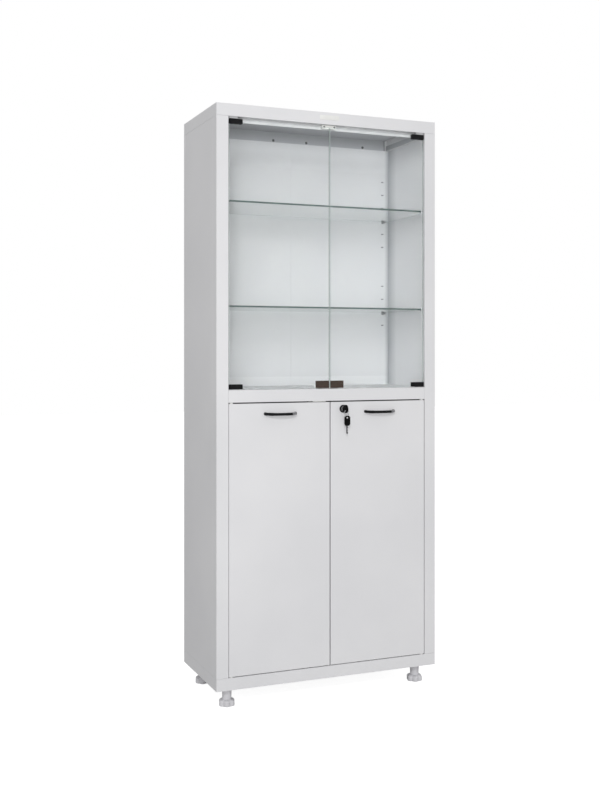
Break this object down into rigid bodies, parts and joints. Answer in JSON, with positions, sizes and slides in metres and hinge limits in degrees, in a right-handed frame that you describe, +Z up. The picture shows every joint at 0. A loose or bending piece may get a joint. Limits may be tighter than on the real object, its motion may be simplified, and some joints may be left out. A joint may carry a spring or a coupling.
{
  "type": "glass door medical cabinet",
  "caption": "Tall white sheet-steel cabinet with two frameless glass doors over two lockable steel doors, glass shelves on hooks and levelling feet.",
  "frame": {"origin": "on the floor under the middle of the overall box", "axes": "+Z up, +X to the right seen from the front, the doors face -Y"},
  "size_m": [0.7, 0.351, 1.71],
  "materials": {
    "white_paint": "fine textured powder coat, satin white-grey",
    "clear_glass": "clear float glass with polished greenish edges",
    "black_plastic": "moulded black plastic, satin",
    "bronze_plate": "dark brown plated steel",
    "chrome": "bright chrome plate",
    "grey_plastic": "moulded grey nylon",
    "white_plastic": "moulded white nylon",
    "zinc_steel": "zinc plated steel",
    "foot_plastic": "moulded light grey plastic"
  },
  "bodies": {
    "case": {"side_panel_left": "white_paint", "side_panel_right": "white_paint", "back_panel_left": "white_paint", "back_panel_right": "white_paint", "bottom_tray": "white_paint", "top_cap": "white_paint", "middle_shelf": "white_paint", "glass_shelf_upper": "clear_glass", "glass_shelf_lower": "clear_glass", "steel_shelf": "white_paint", "hook_upper_front_left": "black_plastic", "hook_upper_front_right": "black_plastic", "hook_upper_rear_left": "black_plastic", "hook_upper_rear_right": "black_plastic", "hook_lower_front_left": "black_plastic", "hook_lower_front_right": "black_plastic", "hook_lower_rear_left": "black_plastic", "hook_lower_rear_right": "black_plastic", "hook_steel_front_left": "black_plastic", "hook_steel_front_right": "black_plastic", "hook_steel_rear_left": "black_plastic", "hook_steel_rear_right": "black_plastic", "glass_socket_top_left": "grey_plastic", "glass_socket_top_right": "grey_plastic", "glass_socket_bottom_left": "grey_plastic", "glass_socket_bottom_right": "grey_plastic", "door_bush_top_left": "white_plastic", "door_bush_top_right": "white_plastic", "door_bush_bottom_left": "white_plastic", "door_bush_bottom_right": "white_plastic", "glass_magnet": "white_plastic", "glass_stop": "white_plastic", "door_magnet": "white_plastic"},
    "glass_door_left": {"glass_leaf_left": "clear_glass", "glass_clip_top_left": "black_plastic", "glass_clip_bottom_left": "black_plastic", "strike_plate_left": "bronze_plate"},
    "glass_door_right": {"glass_leaf_right": "clear_glass", "glass_clip_top_right": "black_plastic", "glass_clip_bottom_right": "black_plastic", "strike_plate_right": "bronze_plate"},
    "steel_door_left": {"steel_door_left": "white_paint", "handle_grip_left": "black_plastic", "handle_end_a_left": "chrome", "handle_end_b_left": "chrome"},
    "steel_door_right": {"steel_door_right": "white_paint", "handle_grip_right": "black_plastic", "handle_end_a_right": "chrome", "handle_end_b_right": "chrome", "lock_body": "chrome", "lock_nut": "zinc_steel"},
    "lock_plug": {"lock_plug": "chrome", "lock_cam": "zinc_steel", "key": "black_plastic"},
    "key_fob": {"key_ring": "zinc_steel", "spare_key": "black_plastic"},
    "foot_front_left": {"foot_front_left": "foot_plastic"},
    "foot_front_right": {"foot_front_right": "foot_plastic"},
    "foot_rear_left": {"foot_rear_left": "foot_plastic"},
    "foot_rear_right": {"foot_rear_right": "foot_plastic"}
  },
  "joints": [
    {"name": "glass_door_left_hinge", "type": "hinge", "parent": "case", "child": "glass_door_left", "pos_m": [-0.3045, -0.138, 1.28], "axis": [0, 0, -1], "range_deg": [0, 110]},
    {"name": "glass_door_right_hinge", "type": "hinge", "parent": "case", "child": "glass_door_right", "pos_m": [0.3045, -0.138, 1.28], "axis": [0, 0, 1], "range_deg": [0, 110]},
    {"name": "steel_door_left_hinge", "type": "hinge", "parent": "case", "child": "steel_door_left", "pos_m": [-0.305, -0.139, 0.478], "axis": [0, 0, -1], "range_deg": [0, 110]},
    {"name": "steel_door_right_hinge", "type": "hinge", "parent": "case", "child": "steel_door_right", "pos_m": [0.305, -0.139, 0.478], "axis": [0, 0, 1], "range_deg": [0, 110]},
    {"name": "lock_turn", "type": "hinge", "parent": "steel_door_right", "child": "lock_plug", "pos_m": [0.041, -0.1445, 0.842], "axis": [0, 1, 0], "range_deg": [0, 90]},
    {"name": "key_fob_swing", "type": "hinge", "parent": "lock_plug", "child": "key_fob", "pos_m": [0.041, -0.1693, 0.8404], "axis": [-1, 0, 0], "range_deg": [-15, 60]},
    {"name": "foot_front_left_level", "type": "slide", "parent": "case", "child": "foot_front_left", "axis": [0, 0, -1], "range_m": [0, 0.012]},
    {"name": "foot_front_right_level", "type": "slide", "parent": "case", "child": "foot_front_right", "axis": [0, 0, -1], "range_m": [0, 0.012]},
    {"name": "foot_rear_left_level", "type": "slide", "parent": "case", "child": "foot_rear_left", "axis": [0, 0, -1], "range_m": [0, 0.012]},
    {"name": "foot_rear_right_level", "type": "slide", "parent": "case", "child": "foot_rear_right", "axis": [0, 0, -1], "range_m": [0, 0.012]}
  ]
}
